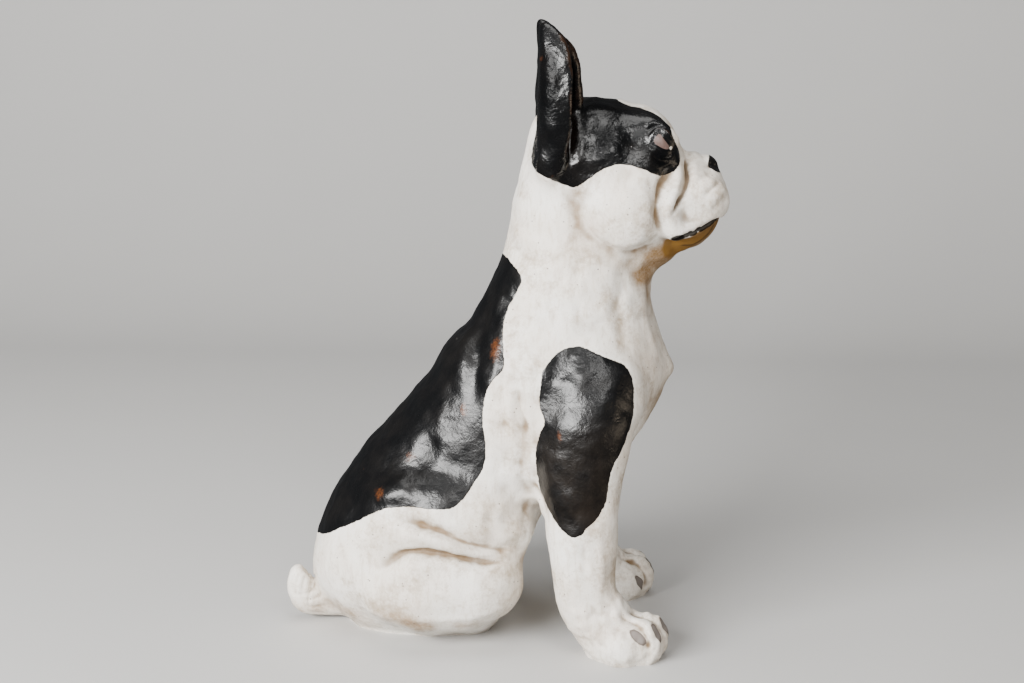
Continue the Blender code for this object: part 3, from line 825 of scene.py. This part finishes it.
def dark_mark(points, ahead):
    """Distance inside the edge of the nearest dark patch."""
    x, y, z = points.T
    hx, hy, hz = ahead.T
    dark = np.where(hz > 300, head_patch(hx, hy, hz), OUTSIDE)
    dark = np.maximum(dark, np.where(z < 285, off_outline(x, z, BACK_PATCH), OUTSIDE))
    for side in SIDES:
        step = STRIDE[side] - STRIDE[RIGHT]
        leg = leg_patch(x - step, y, z)
        dark = np.maximum(dark, np.where(side * y > 0, leg, OUTSIDE))
    return dark


def from_place(points, place):
    """Distance from a place on either side."""
    gaps = [np.linalg.norm(points - mirrored([place], side)[0], axis=1) for side in SIDES]
    return np.minimum(*gaps)


def mark_face(mesh, skin, ahead):
    """Marks for the eyes, the nose and the mouth."""
    hx, _, hz = ahead.T
    eye = off_outline(hx, hz, EYE_OUTLINE)
    mark(mesh, "eye", np.where(from_place(ahead, EYE) < EYE_RADIUS + 3, eye, OUTSIDE))
    mark(mesh, "eye_dark", from_place(ahead, EYE_DARK))
    mark(mesh, "eye_glint", from_place(ahead, EYE_GLINT))
    mark(mesh, "mouth_corner", from_place(ahead, MOUTH[1]))
    pad = np.linalg.norm((ahead - NOSE_PAINT) / NOSE_PAINT_RADII, axis=1)
    mark(mesh, "nose", (1 - pad) * 8)
    mouth_height = np.interp(hx, [spot[0] for spot in MOUTH], [spot[2] for spot in MOUTH])
    for name, line in (("mouth", MOUTH), ("jaw_ochre_and_bounce", JAW), ("lower_lip_shade", LOWER_LIP)):
        gaps = np.minimum(*[
            off_line(skin.points, skin.laid(turned(mirrored(line, side), HEAD_TURN)))
            for side in SIDES
        ])
        # the band of painted bounce light and ochre stays under the line of the mouth
        mark(mesh, name, np.where(hz < mouth_height, gaps, FAR) if name == "jaw_ochre_and_bounce" else gaps)


def nail_mark(skin):
    """Distance inside the edge of the nearest nail."""
    nails = np.full(len(skin.points), float(OUTSIDE))
    for side in SIDES:
        for spot in NAILS:
            place, normal = skin.tree.find_nearest(from_wrist(side, *spot))[:2]
            forward = turn_matrix(side * (PAW_SPLAY + spot[1] * 0.8)) @ (1, 0, NAIL_LEAN)
            forward = Vector(forward - normal * normal.dot(Vector(forward))).normalized()
            across = normal.cross(forward)
            gap = skin.points - np.array(place)
            ring = np.hypot(gap @ forward / NAIL_RADII[0], gap @ across / NAIL_RADII[1])
            inside = np.where(np.abs(gap @ normal) < 6, (1 - ring) * NAIL_RADII[1], OUTSIDE)
            nails = np.maximum(nails, inside)
    return nails


def paint_marks(mesh):
    """Where each colour lies, as distances inside its edge or as strengths."""
    skin = Skin(mesh)
    skin.settle()
    points = skin.points
    ahead = turned(points, -HEAD_TURN)
    both = np.column_stack((ahead[:, 0], np.abs(ahead[:, 1]), ahead[:, 2]))
    mark(mesh, "dark", dark_mark(points, ahead))
    mark_face(mesh, skin, ahead)
    mark(mesh, "nail", nail_mark(skin))
    mark(mesh, "fine_hollow", hollowness(skin, 6))
    mark(mesh, "broad_hollow", hollowness(skin, 60))
    for name, places in (("rub", RUBS), ("stain_and_shade", STAINS_AND_SHADE), ("ochre_and_bounce", OCHRE_AND_BOUNCE), ("brown", LEG_WASH)):
        mark(mesh, name, spots(points, places))
    mark(mesh, "canal", spots(both, EAR_CANAL))
    mark(mesh, "dull", spots(both, DULL))
    mark(mesh, "glazed", smooth_step(300, 315, points[:, 2]))


class Nodes:
    """A short way to build a material's nodes."""

    def __init__(self, name):
        self.material = bpy.data.materials.new(name)
        self.material.use_nodes = True
        self.tree = self.material.node_tree
        self.shader = self.tree.nodes["Principled BSDF"]
        coordinates = self.tree.nodes.new("ShaderNodeTexCoord")
        self.place = coordinates.outputs["Object"]

    def put(self, socket, value):
        if isinstance(value, bpy.types.NodeSocket):
            self.tree.links.new(value, socket)
        else:
            socket.default_value = value

    def math(self, operation, a, b):
        node = self.tree.nodes.new("ShaderNodeMath")
        node.operation = operation
        for socket, value in zip(node.inputs, (a, b)):
            self.put(socket, value)
        return node.outputs[0]

    def sum(self, *values):
        total = values[0]
        for value in values[1:]:
            total = self.math("ADD", total, value)
        return total

    def times(self, a, b):
        return self.math("MULTIPLY", a, b)

    def swing(self, noise, reach):
        """Noise moved to lie about zero, and scaled."""
        return self.times(self.sum(noise, -0.5), reach)

    def step(self, value, low, high):
        """From 0 at low to 1 at high, with soft ends."""
        node = self.tree.nodes.new("ShaderNodeMapRange")
        node.interpolation_type = "SMOOTHSTEP"
        for name, given in (("Value", value), ("From Min", low), ("From Max", high)):
            self.put(node.inputs[name], given)
        return node.outputs["Result"]

    def mix(self, share, a, b):
        """Between two colours."""
        node = self.tree.nodes.new("ShaderNodeMix")
        node.data_type = "RGBA"
        node.clamp_factor = True
        self.put(node.inputs["Factor"], share)
        for name, value in (("A", a), ("B", b)):
            socket = next(s for s in node.inputs if s.name == name and s.type == "RGBA")
            self.put(socket, (*value, 1) if isinstance(value, tuple) else value)
        return next(s for s in node.outputs if s.type == "RGBA")

    def blend(self, share, a, b):
        """Between two numbers."""
        node = self.tree.nodes.new("ShaderNodeMix")
        node.data_type = "FLOAT"
        node.clamp_factor = True
        for name, value in (("Factor", share), ("A", a), ("B", b)):
            self.put(next(s for s in node.inputs if s.name == name), value)
        return node.outputs[0]

    def stretched(self, stretch):
        """The place of a point, stretched along each axis."""
        node = self.tree.nodes.new("ShaderNodeVectorMath")
        node.operation = "MULTIPLY"
        self.put(node.inputs[0], self.place)
        self.put(node.inputs[1], stretch)
        return node.outputs[0]

    def noise(self, size, detail=3, roughness=0.55, place=None, distortion=0.0):
        """Noise with lumps of about a size in millimetres, from 0 to 1."""
        node = self.tree.nodes.new("ShaderNodeTexNoise")
        self.put(node.inputs["Vector"], place or self.place)
        node.inputs["Scale"].default_value = 1 / (size * MM)
        node.inputs["Detail"].default_value = detail
        node.inputs["Roughness"].default_value = roughness
        node.inputs["Distortion"].default_value = distortion
        return node.outputs["Fac"]

    def cells(self, size):
        """Distance from scattered centres about a size in millimetres apart."""
        node = self.tree.nodes.new("ShaderNodeTexVoronoi")
        self.put(node.inputs["Vector"], self.place)
        node.inputs["Scale"].default_value = 1 / (size * MM)
        return node.outputs["Distance"]

    def marked(self, name):
        """A mark that the mesh carries."""
        node = self.tree.nodes.new("ShaderNodeAttribute")
        node.attribute_name = name
        return node.outputs["Fac"]

    def bump(self, height):
        """Relief from a height in millimetres."""
        node = self.tree.nodes.new("ShaderNodeBump")
        node.inputs["Strength"].default_value = 1
        node.inputs["Distance"].default_value = MM
        self.put(node.inputs["Height"], height)
        return node.outputs["Normal"]


class Enamel(Nodes):
    """Worn garden enamel: warm white with brown wash and painted shade in its hollows, and glossy
    black patches.
    """

    def __init__(self, name):
        super().__init__(name)
        self.mottle = self.noise(22, 4, 0.6)
        self.cloud = self.noise(48, 2, 0.5)
        self.grain = self.noise(1.6, 2, 0.6)
        self.dabs = self.noise(5.5, 3, 0.6, distortion=0.6)
        place = self.stretched((1, 1, 0.25))
        self.streaks = self.noise(3.0, 3, 0.6, place=place, distortion=0.5)
        self.fine_hollow = self.marked("fine_hollow")
        self.glazed = self.marked("glazed")
        # the hand-painted edge of the dark patches
        self.edge = self.sum(
            self.marked("dark"), self.swing(self.noise(6), 1.8), self.swing(self.noise(1.8, 2), 0.8)
        )
        self.dark = self.step(self.edge, -0.22, 0.22)


def white_coat(n):
    """White, clouded and streaked, with brown wash and painted shade in its hollows, stains and
    more painted shade, and painted warm bounce light, with some ochre, underneath.
    """
    white = n.mix(n.step(n.cloud, 0.38, 0.66), WHITE, AGED_WHITE)
    white = n.mix(n.times(n.step(n.streaks, 0.46, 0.74), 0.36), white, STREAK_TAN)
    patchy = n.step(n.sum(n.mottle, n.times(n.noise(2.6, 3, 0.7), 0.5)), 0.70, 1.05)
    white = n.mix(n.times(patchy, 0.75), white, PATCH_TAN)
    fine = n.step(n.noise(0.9, 2, 0.7), 0.56, 0.74)
    white = n.mix(n.times(fine, 0.4), white, GRAIN_TAN)
    # brown in the hollows and the deepest creases: partly wash, partly painted shade
    hollow = n.sum(n.times(n.fine_hollow, 1.3), n.times(n.marked("broad_hollow"), 0.8))
    wash_and_shade = n.times(n.step(hollow, -0.05, 2.0), n.sum(0.4, n.mottle))
    white = n.mix(wash_and_shade, white, WASH_AND_SHADE_BROWN)
    crease_wash_and_shade = n.step(n.sum(n.fine_hollow, n.swing(n.grain, 0.4)), 0.4, 1.1)
    white = n.mix(n.times(crease_wash_and_shade, 0.75), white, CREASE_WASH_AND_SHADE_BROWN)
    # stains: partly wash, partly painted warm shade under the cheeks, in the folds and at the foot
    uneven = n.step(n.sum(n.mottle, n.times(n.grain, 0.25)), 0.36, 0.85)
    stain_and_shade = n.times(n.marked("stain_and_shade"), uneven)
    white = n.mix(n.times(stain_and_shade, 0.85), white, STAIN_AND_SHADE_BROWN)
    # painted warm bounce light on the undersides, with a little ochre patina
    ochre_and_bounce = n.step(n.sum(n.marked("ochre_and_bounce"), n.swing(n.mottle, 0.8)), 0.1, 0.75)
    ochre_and_bounce = n.times(ochre_and_bounce, n.sum(0.7, n.times(n.grain, 0.5)))
    white = n.mix(n.times(ochre_and_bounce, 0.92), white, OCHRE_AND_BOUNCE_TONE)
    specks = n.times(n.step(n.cells(6.5), 0.10, 0.06), n.step(n.cloud, 0.42, 0.58))
    return n.mix(n.times(specks, 0.8), white, SPECK_BROWN)


def black_coat(n):
    """Black, a little brown on the legs, worn to brown in spots and on its sharpest edges."""
    black = n.mix(n.step(n.mottle, 0.4, 0.7), BLACK, SOFT_BLACK)
    leg_wash = n.times(n.marked("brown"), n.step(n.mottle, 0.25, 0.7))
    black = n.mix(leg_wash, black, LEG_BROWN)
    rubbed = n.step(n.sum(n.marked("rub"), n.swing(n.noise(3.2, 3), 1.1)), 0.25, 1.0)
    rubbed = n.times(rubbed, n.step(n.noise(1.5, 3, 0.7), 0.28, 0.58))
    black = n.mix(n.times(rubbed, 0.95), black, WORN_BROWN)
    edges = n.step(n.sum(n.times(n.fine_hollow, -1.0), n.times(n.grain, 0.25)), 0.5, 0.8)
    black = n.mix(n.times(edges, 0.4), black, EDGE_BROWN)
    black = n.mix(n.times(n.marked("canal"), 0.4), black, CANAL_BROWN)
    flecks = n.times(n.step(n.cells(11), 0.045, 0.025), n.step(n.mottle, 0.5, 0.56))
    return n.mix(n.times(flecks, 0.8), black, PALE_FLECK)


def coat_roughness(n):
    """Soft satin on the white, satin on the body's black, gloss on the head's."""
    matt = n.sum(0.42, n.times(n.sum(n.mottle, n.times(n.grain, 0.4)), 0.18))
    satin = n.sum(0.17, n.times(n.noise(11, 3), 0.22), n.times(n.grain, 0.08))
    gloss = n.sum(0.18, n.times(n.noise(7, 3), 0.16))
    return n.blend(n.dark, matt, n.blend(n.glazed, satin, gloss))


def coat_shine(n):
    """How strongly the coats mirror light, least where the glaze is dull."""
    return n.blend(n.times(n.marked("dull"), n.dark), n.blend(n.glazed, 0.4, 0.5), 0.08)


def relief(n):
    """Brushed and pitted white, and dabbed, grainy black that stands a coat thicker."""
    pits = n.step(n.cells(3.1), 0.22, 0.08)
    white = n.sum(n.times(n.streaks, 0.10), n.times(n.grain, 0.05), n.times(pits, -0.05),
                  n.times(n.dabs, 0.10))
    black = n.sum(n.times(n.dabs, n.blend(n.glazed, 0.26, 0.50)),
                  n.times(n.noise(2.2, 2), n.blend(n.glazed, 0.17, 0.20)),
                  n.times(n.grain, 0.08))
    coat = n.times(n.step(n.edge, -0.2, 0.5), 0.12)
    return n.bump(n.sum(n.blend(n.dark, white, black), coat))


def paint():
    """The whole paint of the statue."""
    n = Enamel("statue_paint")
    colour = n.mix(n.dark, white_coat(n), black_coat(n))
    rough = coat_roughness(n)
    shine = coat_shine(n)

    nose = n.step(n.sum(n.marked("nose"), n.swing(n.grain, 0.5)), -0.15, 0.25)
    colour = n.mix(nose, colour, NOSE_BLACK)
    rough = n.blend(nose, rough, 0.25)

    wobble = n.sum(n.noise(4), -0.5)
    # the jaw's band is painted warm bounce light with a little ochre, the lower lip's painted shade
    for name, reach, blur, strength, tone in MOUTH_BANDS:
        band = n.step(n.sum(n.marked(name), wobble), reach + blur, reach - blur)
        colour = n.mix(n.times(band, strength), colour, tone)
        rough = n.blend(band, rough, 0.65)
        shine = n.blend(band, shine, 0.15)
    corner = n.sum(n.marked("mouth_corner"), wobble)
    corner = n.step(corner, MOUTH_CORNER_RADIUS + 0.5, MOUTH_CORNER_RADIUS - 0.5)
    colour = n.mix(n.times(corner, 0.96), colour, MOUTH_BLACK)

    # eyes: rosy brown, dark ahead, with a painted highlight of white
    eye = n.step(n.marked("eye"), -0.1, 0.25)
    colour = n.mix(eye, colour, n.mix(n.mottle, EYE_ROSE, EYE_BROWN))
    for name, radius, tone in (
        ("eye_dark", EYE_DARK_RADIUS, EYE_BLACK), ("eye_glint", EYE_GLINT_RADIUS, GLINT_WHITE)
    ):
        fleck = n.step(n.marked(name), radius + 0.2, radius - 0.2)
        colour = n.mix(fleck, colour, tone)
    rough = n.blend(eye, rough, 0.55)

    nail = n.step(n.sum(n.marked("nail"), n.swing(n.noise(2), 0.9)), -0.1, 0.3)
    shade = n.mix(n.step(n.marked("nail"), 0.2, 1.3), NAIL_RIM_TONE, NAIL_GREY)
    colour = n.mix(nail, colour, shade)

    n.put(n.shader.inputs["Base Color"], colour)
    n.put(n.shader.inputs["Roughness"], rough)
    n.put(n.shader.inputs["Specular IOR Level"], shine)
    n.put(n.shader.inputs["Normal"], relief(n))
    return n.material


def statue(solid):
    """The one piece of the statue."""
    mesh = sculpted(solid)
    paint_marks(mesh)
    mesh.materials.clear()
    mesh.materials.append(paint())
    piece = bpy.data.objects.new("bulldog_skin", mesh)
    bpy.context.scene.collection.objects.link(piece)
    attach(piece, "root")
    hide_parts("bulldog")


def floor_material():
    """A plain pale tone, clouded a little."""
    n = Nodes("pale_floor")
    shade = tuple(part * 0.965 for part in FLOOR_TONE)
    n.put(n.shader.inputs["Base Color"], n.mix(n.noise(120, 3, 0.5), FLOOR_TONE, shade))
    n.shader.inputs["Roughness"].default_value = FLOOR_ROUGHNESS
    return n.material


def floor():
    """A pale floor that curves up into a pale backdrop behind the statue."""
    half, front, start, rise, radius, steps = 2.6, -1.6, 0.9, 1.7, 0.7, 16
    profile = [(front, 0.0), (start, 0.0)]
    for i in range(1, steps + 1):
        angle = math.pi / 2 * i / steps
        profile.append((start + radius * math.sin(angle), radius * (1 - math.cos(angle))))
    profile.append((start + radius, rise))
    work = bmesh.new()
    rows = [[work.verts.new((side * half, y, z)) for side in (-1, 1)] for y, z in profile]
    for low, high in zip(rows, rows[1:]):
        work.faces.new((low[0], low[1], high[1], high[0]))
    mesh = bpy.data.meshes.new("floor")
    work.to_mesh(mesh)
    work.free()
    mesh.shade_smooth()
    mesh.materials.append(floor_material())
    obj = bpy.data.objects.new("floor", mesh)
    # the glossy black paint would mirror a floor this pale and turn grey
    obj.visible_glossy = False
    bpy.context.scene.collection.objects.link(obj)


def soft_light(name, place, size, power, colour):
    lamp = bpy.data.lights.new(name, "AREA")
    lamp.shape = "RECTANGLE"
    lamp.size, lamp.size_y = size
    lamp.energy = power
    lamp.color = colour
    obj = bpy.data.objects.new(name, lamp)
    obj.location = place
    facing = Vector(LIGHTS_MIDDLE) - Vector(place)
    obj.rotation_euler = facing.to_track_quat("-Z", "Y").to_euler()
    bpy.context.scene.collection.objects.link(obj)


def lights():
    for light in LIGHTS:
        soft_light(*light)
    world = bpy.data.worlds.new("studio")
    world.use_nodes = True
    background = world.node_tree.nodes["Background"]
    background.inputs["Color"].default_value = SKY_TONE
    background.inputs["Strength"].default_value = SKY_STRENGTH
    bpy.context.scene.world = world


def camera():
    """The photograph's view: a little ahead of square on, from above the head, looking down."""
    azimuth, distance, height, pitch = math.radians(5), 1.15, 0.436, math.radians(11.5)
    focus_pixels, frame_pixels, sensor_width, aim_x = 1703, 1024, 36, 0.0065
    data = bpy.data.cameras.new("view")
    data.sensor_width = sensor_width
    data.lens = sensor_width * focus_pixels / frame_pixels
    obj = bpy.data.objects.new("view", data)
    away = Vector((math.sin(azimuth), -math.cos(azimuth), 0))
    obj.location = Vector((aim_x, 0, height)) + away * distance
    ahead = -away * math.cos(pitch) - Vector((0, 0, math.sin(pitch)))
    obj.rotation_euler = ahead.to_track_quat("-Z", "Y").to_euler()
    bpy.context.scene.collection.objects.link(obj)
    bpy.context.scene.camera = obj


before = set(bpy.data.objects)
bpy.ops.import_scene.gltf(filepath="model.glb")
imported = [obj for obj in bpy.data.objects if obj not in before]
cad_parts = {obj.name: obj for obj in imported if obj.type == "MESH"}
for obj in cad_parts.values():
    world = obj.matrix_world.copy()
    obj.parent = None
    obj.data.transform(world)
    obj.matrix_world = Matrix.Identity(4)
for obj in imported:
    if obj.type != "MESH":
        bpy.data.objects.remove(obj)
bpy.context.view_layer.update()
statue(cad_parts["bulldog"])
floor()
lights()
camera()
